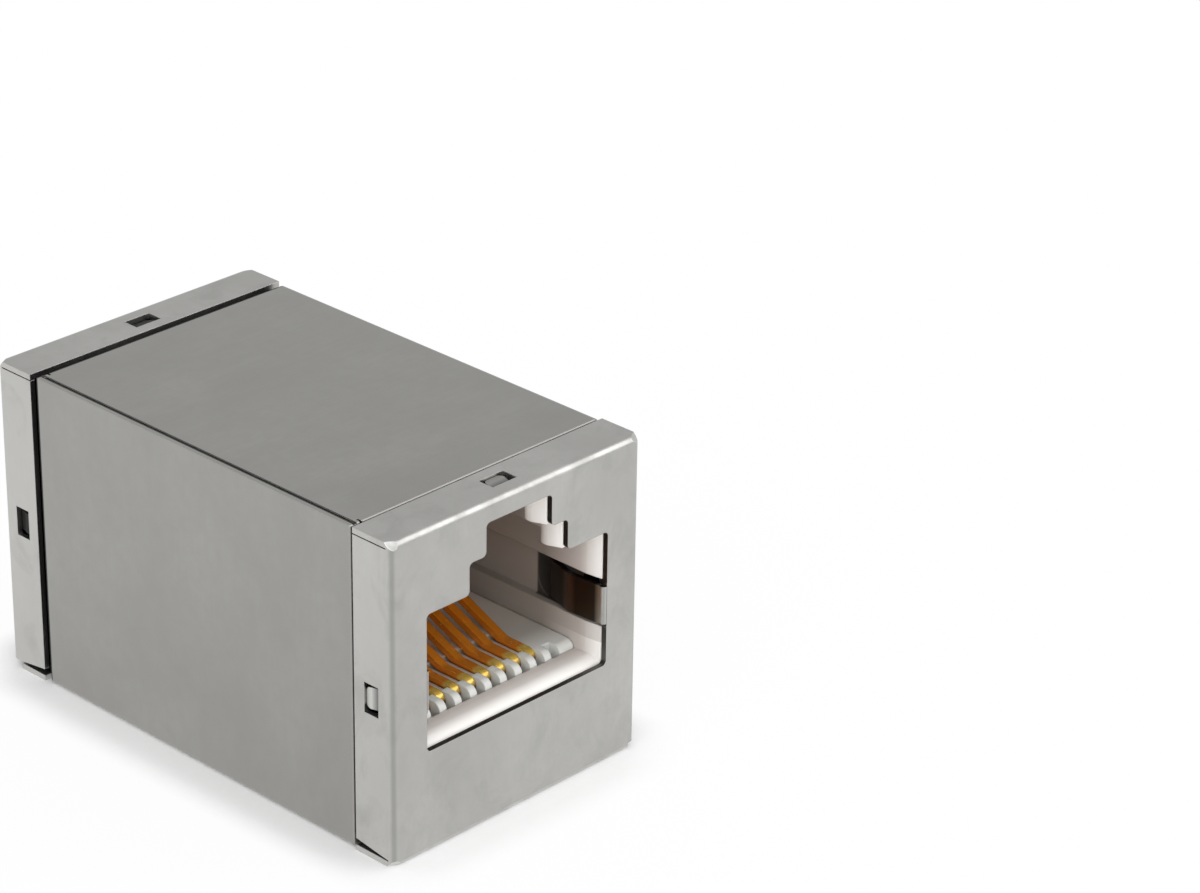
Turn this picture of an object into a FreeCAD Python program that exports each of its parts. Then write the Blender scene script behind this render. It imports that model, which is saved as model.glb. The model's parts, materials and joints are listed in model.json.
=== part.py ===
import FreeCAD, Part
import os

import Sketcher
from FreeCAD import Placement, Rotation, Vector

# Shielded inline coupler with one eight-contact socket at each end.
# The long axis is Y and the front socket faces -Y, with its latch keyway up (+Z).
# The origin is the middle of the underside. All sizes are millimetres.

CONTACT_COUNT = 8

SIZES = [
    # Whole coupler
    ("coupler_width", 16.5),
    ("coupler_height", 17.2),
    ("coupler_length", 28.4),
    # Folded sheet and the way the sheet parts nest
    ("sheet_thickness", 0.3),
    ("nest_gap", 0.05),
    ("front_cap_gap", 0.15),
    ("rear_cap_gap", 0.45),
    # End cap
    ("flange_depth", 2.6),
    ("cap_bend_radius", 0.4),
    ("facet_across", 0.9),
    ("facet_back", 0.5),
    ("facet_down", 0.55),
    ("corner_relief_width", 0.5),
    ("corner_relief_height", 0.4),
    ("corner_relief_depth", 0.8),
    ("flange_seam_gap", 0.06),
    ("flange_foot_gap", 0.36),
    ("snap_hole_width", 1.6),
    ("snap_hole_depth", 0.95),
    ("snap_hole_setback", 1.45),
    # Stepped opening in the cap
    ("opening_width", 12.1),
    ("opening_height", 7.3),
    ("keyway_width", 6.55),
    ("keyway_height", 1.65),
    ("latch_slot_width", 4.35),
    ("latch_slot_height", 1.7),
    ("latch_slot_drop", 1.05),
    ("opening_corner_radius", 0.25),
    # Ground fingers folded in from the cap
    ("finger_root_length", 0.65),
    ("finger_root_rise", 2.25),
    ("finger_height", 2.05),
    ("finger_ridge_setback", 2.3),
    ("finger_ridge_height", 0.15),
    ("finger_ridge_radius", 0.8),
    ("finger_length", 3.9),
    ("finger_flare", 0.35),
    ("finger_bend_radius", 0.2),
    # Folded shell halves
    ("shell_seam_gap", 0.12),
    ("shell_fold_radius", 0.35),
    ("shell_step_radius", 0.12),
    ("neck_end_gap", 0.1),
    ("barb_slot_width", 1.9),
    ("barb_slot_length", 1.2),
    ("barb_root_overlap", 0.15),
    ("barb_width", 1.15),
    ("barb_length", 1.05),
    ("barb_crest_length", 0.3),
    ("barb_recess", 0.12),
    ("barb_corner_radius", 0.3),
    # Moulded socket housing
    ("housing_gap", 0.05),
    ("housing_face_gap", 0.05),
    ("mouth_inset", 0.02),
    ("cavity_inset", 0.15),
    ("lead_in_depth", 0.9),
    ("cavity_depth", 10.7),
    ("lip_rise", 0.25),
    ("lip_depth", 1.6),
    ("lip_radius", 0.8),
    ("side_groove_depth", 0.5),
    ("side_groove_below", 0.25),
    ("side_groove_above", 0.3),
    ("window_setback", 0.5),
    ("window_end_gap", 1.1),
    ("window_top_drop", 0.25),
    ("window_corner_radius", 1.0),
    ("barb_relief_depth", 0.25),
    ("latch_block_depth", 1.6),
    ("latch_block_radius", 0.5),
    ("latch_channel_width", 8.6),
    ("bay_depth", 3.15),
    # Contact carrier
    ("carrier_gap", 0.05),
    ("comb_rise", 0.4),
    ("comb_nose_radius", 0.45),
    ("comb_nose_length", 1.0),
    ("comb_step", 0.2),
    ("upright_rise", 4.55),
    ("upright_slot_height", 2.9),
    ("upright_slot_depth", 1.0),
    # Contacts
    ("contact_pitch", 1.02),
    ("contact_width", 0.46),
    ("contact_thickness", 0.35),
    ("contact_side_gap", 0.05),
    ("contact_nose_setback", 0.65),
    ("contact_level_length", 1.9),
    ("contact_rise_angle", 23),
    ("contact_bend_radius", 0.15),
    ("contact_kink_radius", 0.8),
    ("contact_tip_length", 0.6),
    ("slot_runout", 0.85),
    ("blank_slot_length", 0.75),
    ("upper_pin_drop", 1.05),
    ("lower_pin_drop", 2.35),
    ("pin_end_gap", 0.1),
    # Circuit board between the two sockets
    ("board_thickness", 1.6),
    ("board_gap", 0.05),
    ("pin_hole_gap", 0.1),
    # How far a cut runs on past the material it opens
    ("cut_runout", 1.0),
]

# Places that several parts share, as expressions on the sheet of sizes
SIDE = "(size.coupler_width / 2)"
TOP = "size.coupler_height"
MIDDLE = "(size.coupler_height / 2)"
FRONT = "(-size.coupler_length / 2)"
REAR = "(size.coupler_length / 2)"
SHEET = "size.sheet_thickness"
NECK_OUTER = f"({SHEET} + size.nest_gap)"
NECK_INNER = f"({NECK_OUTER} + {SHEET})"
HOUSING_INSET = f"({NECK_INNER} + size.housing_gap)"
SHELL_START = f"({FRONT} + size.flange_depth + size.front_cap_gap)"
SHELL_END = f"({REAR} - size.flange_depth - size.rear_cap_gap)"
FRONT_SNAP = f"({FRONT} + size.snap_hole_setback)"
REAR_SNAP = f"({REAR} - size.snap_hole_setback)"

# Half widths and levels of the stepped opening, which hangs from the top of the coupler
OPENING_SIDE = "(size.opening_width / 2)"
KEYWAY_SIDE = "(size.keyway_width / 2)"
LATCH_SIDE = "(size.latch_slot_width / 2)"
LATCH_TOP = f"({TOP} - size.latch_slot_drop)"
KEYWAY_TOP = f"({LATCH_TOP} - size.latch_slot_height)"
OPENING_TOP = f"({KEYWAY_TOP} - size.keyway_height)"
OPENING_BOTTOM = f"({OPENING_TOP} - size.opening_height)"
FINGER_SIDE = f"({OPENING_SIDE} - size.finger_root_length)"
FINGER_BOTTOM = f"({OPENING_BOTTOM} + size.finger_root_rise)"
FINGER_TOP = f"({FINGER_BOTTOM} + size.finger_height)"
FINGER_RIDGE = f"({FRONT} + size.finger_ridge_setback)"
FINGER_END = f"({FRONT} + size.finger_length)"
FACET_REACH = "(3 * size.facet_across)"

# Depths and levels inside the housing
HOUSING_FRONT = f"({FRONT} + {SHEET} + size.housing_face_gap)"
HOUSING_REAR = "(-size.board_thickness / 2 - size.board_gap)"
CAVITY_END = f"({HOUSING_FRONT} + size.cavity_depth)"
CAVITY_SIDE = f"({OPENING_SIDE} - size.cavity_inset)"
LIP_TOP = f"({OPENING_BOTTOM} + size.lip_rise)"
BAY_FLOOR = f"({LIP_TOP} - size.bay_depth)"
GROOVE_BOTTOM = f"({FINGER_BOTTOM} - size.side_groove_below)"
GROOVE_TOP = f"({FINGER_TOP} + size.side_groove_above)"
GROOVE_SIDE = f"({CAVITY_SIDE} + size.side_groove_depth)"
BAY_FRONT = f"({HOUSING_FRONT} + size.lip_depth)"

# Contact carrier and contacts
COMB_TOP = f"({LIP_TOP} + size.comb_rise)"
CARRIER_FRONT = f"({BAY_FRONT} + size.carrier_gap)"
CARRIER_REAR = f"({HOUSING_REAR} - size.carrier_gap)"
CARRIER_BOTTOM = f"({BAY_FLOOR} + size.carrier_gap)"
CARRIER_SIDE = f"({CAVITY_SIDE} - size.carrier_gap)"
UPRIGHT_TOP = f"({LIP_TOP} + size.upright_rise)"
SLOT_SIDE = "(size.contact_width / 2 + size.contact_side_gap)"
CONTACT_NOSE = f"({BAY_FRONT} + size.contact_nose_setback)"
CONTACT_TOP = f"({COMB_TOP} + size.contact_side_gap)"
CONTACT_KINK = f"({CONTACT_NOSE} + size.contact_level_length)"
CONTACT_TIP = f"({CAVITY_END} + size.contact_tip_length)"
SLOT_END = f"({CONTACT_KINK} + size.slot_runout)"
PIN_END = "(size.board_thickness / 2 - size.pin_end_gap)"
PIN_ROWS = {"upper": f"({LIP_TOP} - size.upper_pin_drop)", "lower": f"({LIP_TOP} - size.lower_pin_drop)"}

doc = FreeCAD.newDocument("inline_coupler")
sheet = doc.addObject("Spreadsheet::Sheet", "size")
nodes = []


def fill_sheet():
    for row, (alias, value) in enumerate(SIZES, start=1):
        sheet.set(f"A{row}", alias)
        sheet.set(f"B{row}", str(value))
        sheet.setAlias(f"B{row}", alias)
    doc.recompute()


def size(alias):
    return float(getattr(sheet, alias))


def opening_bottom():
    """The level of OPENING_BOTTOM as a number, for picking edges."""
    steps = ("latch_slot_drop", "latch_slot_height", "keyway_height", "opening_height")
    return size("coupler_height") - sum(size(step) for step in steps)


def new_body(label, turned=False):
    """A body for one sub-part; the rear ones are the front ones turned half way round Z."""
    body = doc.addObject("PartDesign::Body", label)
    body.Label = label
    if turned:
        body.Placement = Placement(Vector(0, 0, 0), Rotation(Vector(0, 0, 1), 180))
    nodes.append(body)
    return body


def origin_plane(body, role):
    return next(item for item in body.Origin.OriginFeatures if item.Role == role)


def new_sketch(body, name, role, at):
    """A sketch on an origin plane, moved along that plane's own axis to the place called at."""
    sketch = body.newObject("Sketcher::SketchObject", name)
    sketch.AttachmentSupport = [(origin_plane(body, role), "")]
    sketch.MapMode = "FlatFace"
    towards = "-" if role == "XZ_Plane" else ""
    sketch.setExpression("AttachmentOffset.Base.z", f"{towards}({at})")
    return sketch


def pin_corner(sketch, line, across, up):
    """Holds the start of a line at two expressions measured from the sketch's origin."""
    for kind, expression in (("DistanceX", across), ("DistanceY", up)):
        number = sketch.addConstraint(Sketcher.Constraint(kind, -1, 1, line, 1, 1.0))
        sketch.setExpression(f"Constraints[{number}]", expression)


def add_outline(sketch, corners):
    """A closed outline of straight lines; each corner is a pair of expressions."""
    first = sketch.GeometryCount
    count = len(corners)
    for index in range(count):
        start = Vector(index, index * index, 0)
        end = Vector(index + 1, (index + 1) * (index + 1), 0)
        sketch.addGeometry(Part.LineSegment(start, end), False)
    for index in range(count):
        following = first + (index + 1) % count
        sketch.addConstraint(Sketcher.Constraint("Coincident", first + index, 2, following, 1))
    for index, (across, up) in enumerate(corners):
        pin_corner(sketch, first + index, across, up)


def outline(body, name, role, corners, at="0"):
    sketch = new_sketch(body, name, role, at)
    add_outline(sketch, corners)
    return sketch


def rectangle(left, right, bottom, top):
    return [(left, bottom), (right, bottom), (right, top), (left, top)]


def centred_rectangle(half_width, bottom, top):
    return rectangle(f"-{half_width}", half_width, bottom, top)


def both_sides(right_half):
    """The right half of an outline, from the bottom up, and its mirror image."""
    left_half = [(f"-{across}", up) for across, up in reversed(right_half)]
    return right_half + left_half


def pad(body, sketch, length, backwards=False, symmetric=False):
    feature = body.newObject("PartDesign::Pad", sketch.Name + "_pad")
    feature.Profile = sketch
    feature.SideType = "Symmetric" if symmetric else "One side"
    feature.Reversed = backwards
    feature.setExpression("Length", length)
    doc.recompute()
    return feature


def pocket(body, sketch, length=None, backwards=False, symmetric=False):
    """A cut of the given length, or right through when no length is given."""
    before = body.Shape.Volume
    feature = body.newObject("PartDesign::Pocket", sketch.Name + "_pocket")
    feature.Profile = sketch
    feature.SideType = "Symmetric" if symmetric else "One side"
    feature.Reversed = backwards
    if length is None:
        feature.Type = "ThroughAll"
    else:
        feature.setExpression("Length", length)
    doc.recompute()
    if body.Shape.Volume >= before:
        raise RuntimeError(f"{body.Label}: {sketch.Name} removes nothing")
    return feature


def repeat_along_x(body, feature, pitch, count):
    pattern = body.newObject("PartDesign::LinearPattern", feature.Name + "_row")
    pattern.Originals = [feature]
    x_axis = next(item for item in body.Origin.OriginFeatures if item.Role == "X_Axis")
    pattern.Direction = (x_axis, [""])
    pattern.setExpression("Length", f"{pitch} * {count - 1}")
    pattern.Occurrences = count
    body.Tip = pattern
    doc.recompute()
    return pattern


def edge_names(shape, wanted):
    names = []
    for number, edge in enumerate(shape.Edges, start=1):
        if wanted(edge.BoundBox):
            names.append(f"Edge{number}")
    return names


def near(first, second, margin=0.001):
    return abs(first - second) < margin


def dress_edges(body, kind, name, size_property, amount, wanted):
    edges = edge_names(body.Tip.Shape, wanted)
    if not edges:
        raise RuntimeError(f"{body.Label}: no edge for {name}")
    base = body.Tip
    feature = body.newObject(kind, name)
    feature.Base = (base, edges)
    feature.setExpression(size_property, amount)
    doc.recompute()
    return feature


def fillet(body, name, radius, wanted):
    """Rounds each edge whose bounding box is wanted."""
    return dress_edges(body, "PartDesign::Fillet", name, "Radius", radius, wanted)


def chamfer(body, name, width, wanted):
    """Breaks each edge whose bounding box is wanted."""
    return dress_edges(body, "PartDesign::Chamfer", name, "Size", width, wanted)


def runs_along(box, axis):
    """True when the edge is straight and runs along the axis called X, Y or Z."""
    lengths = {"X": box.XLength, "Y": box.YLength, "Z": box.ZLength}
    along = lengths.pop(axis)
    return along > 0.01 and max(lengths.values()) < 0.001


# End cap: a face plate with four flanges and two ground fingers
def cap_tray(body):
    """The face plate and its flanges, folded with one bend radius."""
    front = -size("coupler_length") / 2
    inner_front = front + size("sheet_thickness")
    inner_side = f"({SIDE} - {SHEET})"
    block = outline(body, "cap_block", "XZ_Plane", centred_rectangle(SIDE, "0", TOP), at=FRONT)
    pad(body, block, "size.flange_depth", backwards=True)
    fillet(body, "outer_bends", "size.cap_bend_radius",
           lambda box: near(box.YMin, front) and near(box.YMax, front))
    hollow = outline(body, "cap_hollow", "XZ_Plane",
                     centred_rectangle(inner_side, SHEET, f"{TOP} - {SHEET}"), at=f"{FRONT} + {SHEET}")
    pocket(body, hollow, "size.flange_depth")
    fillet(body, "inner_bends", f"size.cap_bend_radius - {SHEET}",
           lambda box: near(box.YMin, inner_front) and near(box.YMax, inner_front))


def cap_corner_facets(body):
    """Three of the front corners, each pressed flat across the meeting of three bends."""
    normal = Vector(1 / size("facet_across"), 1 / size("facet_back"), 1 / size("facet_down"))
    for across, up in ((-1, -1), (-1, 1), (1, 1)):
        outwards = Vector(across * normal.x, -normal.y, up * normal.z)
        name = f"facet_{'top' if up > 0 else 'low'}_{'right' if across > 0 else 'left'}"
        sketch = new_sketch(body, name, "XY_Plane", "0")
        sketch.AttachmentOffset = Placement(Vector(0, 0, 0), Rotation(Vector(0, 0, 1), outwards))
        sketch.setExpression("AttachmentOffset.Base.x", f"{across} * ({SIDE} - size.facet_across)")
        sketch.setExpression("AttachmentOffset.Base.y", FRONT)
        corner_level = TOP if up > 0 else "0"
        sketch.setExpression("AttachmentOffset.Base.z", corner_level)
        add_outline(sketch, rectangle(f"-{FACET_REACH}", FACET_REACH, f"-{FACET_REACH}", FACET_REACH))
        pocket(body, sketch, FACET_REACH, backwards=True)


def cap_corner_relief(body):
    """The fourth front corner, where a square relief was punched before the sheet was folded."""
    corners = rectangle(f"({SIDE} - size.corner_relief_width)", f"({SIDE} + size.cut_runout)",
                        "-size.cut_runout", "size.corner_relief_height")
    relief = outline(body, "corner_relief", "XZ_Plane", corners, at=FRONT)
    pocket(body, relief, "size.corner_relief_depth")


def cap_seams(body):
    """The side flanges stop short of the top and bottom ones; the gap at the foot opens rearwards."""
    bend_end = f"({FRONT} + size.cap_bend_radius)"
    flange_end = f"({FRONT} + size.flange_depth)"
    under_top = f"({TOP} - {SHEET})"
    top_seam = rectangle(bend_end, flange_end, f"({under_top} - size.flange_seam_gap)", under_top)
    foot_seam = [
        (bend_end, SHEET),
        (flange_end, SHEET),
        (flange_end, f"({SHEET} + size.flange_foot_gap)"),
        (bend_end, f"({SHEET} + size.flange_seam_gap)"),
    ]
    sketch = new_sketch(body, "flange_seams", "YZ_Plane", "0")
    add_outline(sketch, top_seam)
    add_outline(sketch, foot_seam)
    pocket(body, sketch, symmetric=True)


def cap_snap_holes(body):
    """One small hole in the middle of each flange, where the shell's barbs snap in."""
    half_width = "(size.snap_hole_width / 2)"
    hole_front = f"({FRONT_SNAP} - size.snap_hole_depth / 2)"
    hole_rear = f"({FRONT_SNAP} + size.snap_hole_depth / 2)"
    top_hole = centred_rectangle(half_width, hole_front, hole_rear)
    upright = outline(body, "snap_holes_upright", "XY_Plane", top_hole)
    pocket(body, upright, symmetric=True)
    side_hole = rectangle(hole_front, hole_rear, f"({MIDDLE} - {half_width})", f"({MIDDLE} + {half_width})")
    sideways = outline(body, "snap_holes_sideways", "YZ_Plane", side_hole)
    pocket(body, sideways, symmetric=True)


def cap_opening(body):
    right_half = [
        (OPENING_SIDE, OPENING_BOTTOM),
        (OPENING_SIDE, FINGER_BOTTOM),
        (FINGER_SIDE, FINGER_BOTTOM),
        (FINGER_SIDE, FINGER_TOP),
        (OPENING_SIDE, FINGER_TOP),
        (OPENING_SIDE, OPENING_TOP),
        (KEYWAY_SIDE, OPENING_TOP),
        (KEYWAY_SIDE, KEYWAY_TOP),
        (LATCH_SIDE, KEYWAY_TOP),
        (LATCH_SIDE, LATCH_TOP),
    ]
    opening = outline(body, "stepped_opening", "XZ_Plane", both_sides(right_half), at=FRONT)
    pocket(body, opening, "size.cut_runout")
    finger_side = size("opening_width") / 2 - size("finger_root_length")
    front = -size("coupler_length") / 2

    def is_opening_corner(box):
        across = abs(box.XMin)
        on_plate = near(box.YMin, front) and near(box.YLength, size("sheet_thickness"))
        inside = across < size("opening_width") / 2 + 0.01 and box.ZMin > opening_bottom() - 0.01
        return runs_along(box, "Y") and on_plate and inside and not near(across, finger_side)

    fillet(body, "opening_corners", "size.opening_corner_radius", is_opening_corner)


def ground_fingers(body):
    """The side tabs of the opening, folded rearwards: each leans inwards to a ridge, then flares out."""
    back_of_plate = f"({FRONT} + {SHEET})"
    plate_end = f"({OPENING_SIDE} + {SHEET})"
    ridge = f"({FINGER_SIDE} - size.finger_ridge_height)"
    tip = f"({FINGER_SIDE} + size.finger_flare)"
    right = [
        (plate_end, FRONT),
        (FINGER_SIDE, FRONT),
        (FINGER_SIDE, back_of_plate),
        (ridge, FINGER_RIDGE),
        (tip, FINGER_END),
        (f"({tip} + {SHEET})", FINGER_END),
        (f"({ridge} + {SHEET})", FINGER_RIDGE),
        (f"({FINGER_SIDE} + {SHEET})", back_of_plate),
        (plate_end, back_of_plate),
    ]
    sketch = new_sketch(body, "ground_fingers", "XY_Plane", FINGER_BOTTOM)
    add_outline(sketch, right)
    add_outline(sketch, [(f"-{across}", along) for across, along in right])
    pad(body, sketch, "size.finger_height")
    thickness = size("sheet_thickness")
    root = size("opening_width") / 2 - size("finger_root_length")
    crest = root - size("finger_ridge_height")
    front = -size("coupler_length") / 2
    crest_place = front + size("finger_ridge_setback")
    bends = [
        ("root_outer", root, front, "size.finger_bend_radius"),
        ("root_inner", root + thickness, front + thickness, "size.finger_bend_radius"),
        ("ridge_inner", crest, crest_place, "size.finger_ridge_radius"),
        ("ridge_outer", crest + thickness, crest_place, f"size.finger_ridge_radius - {SHEET}"),
    ]
    for name, across, along, radius in bends:
        fillet(body, f"finger_{name}", radius,
               lambda box: runs_along(box, "Z") and near(abs(box.XMin), across) and near(box.YMin, along))


def make_cap(label, turned=False):
    body = new_body(label, turned)
    cap_tray(body)
    cap_corner_facets(body)
    cap_corner_relief(body)
    cap_seams(body)
    cap_snap_holes(body)
    cap_opening(body)
    ground_fingers(body)


# Shell half: two walls of one folded sheet, stepped inwards at each end to fit inside the caps
def shell_section(body, name, start, length, outer, inner):
    """One stretch of the half shell, from the depth called outer to the depth called inner."""
    corners = [
        (f"(-{SIDE} + {outer})", f"({TOP} - {outer})"),
        (f"(-{SIDE} + {outer})", outer),
        (f"({SIDE} - {inner} - size.shell_seam_gap)", outer),
        (f"({SIDE} - {inner} - size.shell_seam_gap)", inner),
        (f"(-{SIDE} + {inner})", inner),
        (f"(-{SIDE} + {inner})", f"({TOP} - {outer})"),
    ]
    sketch = outline(body, name, "XZ_Plane", corners, at=start)
    pad(body, sketch, length, backwards=True)


def shell_walls(body):
    neck_room = f"size.flange_depth - {SHEET} - size.neck_end_gap"
    front_neck = f"({neck_room} + size.front_cap_gap)"
    rear_neck = f"({neck_room} + size.rear_cap_gap)"
    wall_length = f"({SHELL_END} - {SHELL_START} - 2 * {SHEET})"
    shell_section(body, "wall", f"({SHELL_START} + {SHEET})", wall_length, "0", SHEET)
    shell_section(body, "front_step", SHELL_START, SHEET, "0", NECK_INNER)
    shell_section(body, "rear_step", f"({SHELL_END} - {SHEET})", SHEET, "0", NECK_INNER)
    shell_section(body, "front_neck", f"({SHELL_START} - {front_neck})", front_neck, NECK_OUTER, NECK_INNER)
    shell_section(body, "rear_neck", SHELL_END, rear_neck, NECK_OUTER, NECK_INNER)


def barb_outline(wall, middle, low_side):
    """A tongue that rises from its slot's low side; wall is the coupler's own outer face."""
    surface = f"({wall} + {NECK_OUTER})"
    crest = f"({wall} + size.barb_recess)"
    low = f"({middle} + {low_side} * size.barb_slot_length / 2)"
    root = f"({low} + {low_side} * size.barb_root_overlap)"
    end = f"({low} - {low_side} * size.barb_length)"
    crest_start = f"({end} + {low_side} * size.barb_crest_length)"
    outer = [(surface, root), (surface, low), (crest, crest_start), (crest, end)]
    inner = [(f"({depth} + {SHEET})", along) for depth, along in reversed(outer)]
    return outer + inner


def shell_barbs(body):
    """A barb lanced out of each neck of each wall, under the cap's snap hole."""
    half_slot = "(size.barb_slot_width / 2)"
    side_slots = new_sketch(body, "side_barb_slots", "YZ_Plane", f"-{SIDE}")
    foot_slots = new_sketch(body, "foot_barb_slots", "XY_Plane", "0")
    side_barbs = new_sketch(body, "side_barbs", "XY_Plane", MIDDLE)
    foot_barbs = new_sketch(body, "foot_barbs", "YZ_Plane", "0")
    for middle, low_side in ((FRONT_SNAP, "-1"), (REAR_SNAP, "1")):
        start = f"({middle} - size.barb_slot_length / 2)"
        end = f"({middle} + size.barb_slot_length / 2)"
        side_slot = rectangle(start, end, f"({MIDDLE} - {half_slot})", f"({MIDDLE} + {half_slot})")
        add_outline(side_slots, side_slot)
        add_outline(foot_slots, centred_rectangle(half_slot, start, end))
        add_outline(side_barbs, barb_outline(f"-{SIDE}", middle, low_side))
        add_outline(foot_barbs, [(along, up) for up, along in barb_outline("0", middle, low_side)])
    pocket(body, side_slots, "size.cut_runout", backwards=True)
    pocket(body, foot_slots, "size.cut_runout", backwards=True)
    pad(body, side_barbs, "size.barb_width", symmetric=True)
    pad(body, foot_barbs, "size.barb_width", symmetric=True)
    thickness = size("sheet_thickness")
    past_middle = size("barb_length") - size("barb_slot_length") / 2
    barb_end = size("coupler_length") / 2 - size("snap_hole_setback") - past_middle
    fillet(body, "barb_corners", "size.barb_corner_radius",
           lambda box: near(abs(box.YMin), barb_end) and near(box.YLength, 0)
           and near(box.DiagonalLength, thickness))


def shell_bends(body):
    """The long fold, the same fold on the necks, and the rolled edges where the walls step in."""
    side = size("coupler_width") / 2
    neck = size("sheet_thickness") + size("nest_gap")
    start = -size("coupler_length") / 2 + size("flange_depth") + size("front_cap_gap")
    end = size("coupler_length") / 2 - size("flange_depth") - size("rear_cap_gap")
    fillet(body, "long_fold", "size.shell_fold_radius",
           lambda box: runs_along(box, "Y") and near(box.XMin, -side) and near(box.ZMin, 0))
    fillet(body, "neck_folds", "size.shell_fold_radius",
           lambda box: runs_along(box, "Y") and near(box.XMin, neck - side) and near(box.ZMin, neck))

    def is_rolled_edge(box):
        at_step = near(box.YMin, box.YMax) and (near(box.YMin, start) or near(box.YMin, end))
        return at_step and (near(box.XMin, -side) or near(box.ZMin, 0))

    fillet(body, "rolled_edges", "size.shell_step_radius", is_rolled_edge)


def make_shell(label, upper=False):
    """The lower half has the left wall and the floor; the upper half is the same, turned half round Y."""
    body = new_body(label)
    shell_walls(body)
    shell_bends(body)
    shell_barbs(body)
    if upper:
        body.Placement = Placement(Vector(0, 0, 0), Rotation(Vector(0, 1, 0), 180))
        body.setExpression("Placement.Base.z", TOP)


# Moulded socket housing
def housing_front():
    return -size("coupler_length") / 2 + size("sheet_thickness") + size("housing_face_gap")


def cavity_outline(inset):
    """The plug's space: main width, side grooves for the ground fingers, and the stepped keyway."""
    side = f"({OPENING_SIDE} - {inset})"
    main_top = f"({OPENING_TOP} - {inset})"
    keyway_side = f"({KEYWAY_SIDE} - {inset})"
    keyway_top = f"({KEYWAY_TOP} - {inset})"
    latch_side = f"({LATCH_SIDE} - {inset})"
    latch_top = f"({LATCH_TOP} - {inset})"
    right_half = [
        (side, LIP_TOP),
        (side, GROOVE_BOTTOM),
        (GROOVE_SIDE, GROOVE_BOTTOM),
        (GROOVE_SIDE, GROOVE_TOP),
        (side, GROOVE_TOP),
        (side, main_top),
        (keyway_side, main_top),
        (keyway_side, keyway_top),
        (latch_side, keyway_top),
        (latch_side, latch_top),
    ]
    return both_sides(right_half)


def housing_cavity(body):
    """The cavity with its tapered mouth, and the wider channel behind the two latch blocks."""
    inset = "size.cavity_inset"
    lead_in_end = f"({HOUSING_FRONT} + size.lead_in_depth)"
    mouth = outline(body, "mouth", "XZ_Plane", cavity_outline("size.mouth_inset"), at=HOUSING_FRONT)
    throat = outline(body, "throat", "XZ_Plane", cavity_outline(inset), at=lead_in_end)
    lead_in = body.newObject("PartDesign::SubtractiveLoft", "lead_in")
    lead_in.Profile = mouth
    lead_in.Sections = [throat]
    lead_in.Ruled = True
    doc.recompute()
    cavity = outline(body, "plug_cavity", "XZ_Plane", cavity_outline(inset), at=HOUSING_FRONT)
    pocket(body, cavity, "size.cavity_depth")
    channel_corners = centred_rectangle("(size.latch_channel_width / 2)", f"({OPENING_TOP} - {inset})",
                                        f"({LATCH_TOP} - {inset})")
    channel = outline(body, "latch_channel", "XZ_Plane", channel_corners,
                      at=f"({HOUSING_FRONT} + size.latch_block_depth)")
    pocket(body, channel, "size.cavity_depth - size.latch_block_depth")
    block_end = housing_front() + size("latch_block_depth")
    fillet(body, "latch_block_ends", "size.latch_block_radius",
           lambda box: runs_along(box, "Z") and near(box.YMin, block_end)
           and abs(box.XMin) < size("keyway_width") / 2)


def housing_windows(body):
    """A window in each side wall beside the ground finger, with a rounded lower rear corner."""
    window_end = f"({FINGER_END} + size.window_end_gap)"
    window_start = f"({HOUSING_FRONT} + size.window_setback)"
    window_top = f"({GROOVE_TOP} - size.window_top_drop)"
    windows = outline(body, "side_windows", "YZ_Plane",
                      rectangle(window_start, window_end, GROOVE_BOTTOM, window_top))
    pocket(body, windows, symmetric=True)
    end = -size("coupler_length") / 2 + size("finger_length") + size("window_end_gap")
    bottom = opening_bottom() + size("finger_root_rise") - size("side_groove_below")
    fillet(body, "window_corners", "size.window_corner_radius",
           lambda box: runs_along(box, "X") and near(box.YMin, end) and near(box.ZMin, bottom))


def housing_barb_reliefs(body):
    """Shallow pockets over and under the block, which give the shell's barbs room to spring in."""
    corners = centred_rectangle("(size.barb_slot_width / 2)", f"({FRONT_SNAP} - size.barb_slot_length / 2)",
                                f"({FRONT_SNAP} + size.barb_slot_length / 2)")
    depth = "size.barb_relief_depth"
    under = outline(body, "foot_relief", "XY_Plane", corners, at=f"{HOUSING_INSET} + {depth}")
    pocket(body, under, f"{depth} + size.cut_runout")
    over = outline(body, "top_relief", "XY_Plane", corners, at=f"{TOP} - {HOUSING_INSET} - {depth}")
    pocket(body, over, f"{depth} + size.cut_runout", backwards=True)


def housing_bay(body):
    """The space under and behind the cavity, where the contact carrier slides in from the rear."""
    bay_top = f"({UPRIGHT_TOP} + size.carrier_gap)"
    base_corners = centred_rectangle(CAVITY_SIDE, BAY_FLOOR, LIP_TOP)
    upright_corners = centred_rectangle(CAVITY_SIDE, BAY_FLOOR, bay_top)
    upright_front = f"({CAVITY_END} - size.carrier_gap)"
    pocket(body, outline(body, "carrier_bay", "XZ_Plane", base_corners, at=BAY_FRONT))
    pocket(body, outline(body, "upright_bay", "XZ_Plane", upright_corners, at=upright_front))


def make_housing(label, turned=False):
    body = new_body(label, turned)
    corners = centred_rectangle(f"({SIDE} - {HOUSING_INSET})", HOUSING_INSET, f"({TOP} - {HOUSING_INSET})")
    block = outline(body, "housing_block", "XZ_Plane", corners, at=HOUSING_FRONT)
    pad(body, block, f"{HOUSING_REAR} - {HOUSING_FRONT}", backwards=True)
    housing_cavity(body)
    housing_windows(body)
    housing_barb_reliefs(body)
    housing_bay(body)
    lip_top = opening_bottom() + size("lip_rise")
    fillet(body, "rounded_lip", "size.lip_radius",
           lambda box: runs_along(box, "X") and near(box.YMin, housing_front()) and near(box.ZMin, lip_top))


# Contact carrier
def row_place(index):
    """Where contact number index (1 to the count) lies along X."""
    return f"({index - (CONTACT_COUNT + 1) / 2} * size.contact_pitch)"


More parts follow.
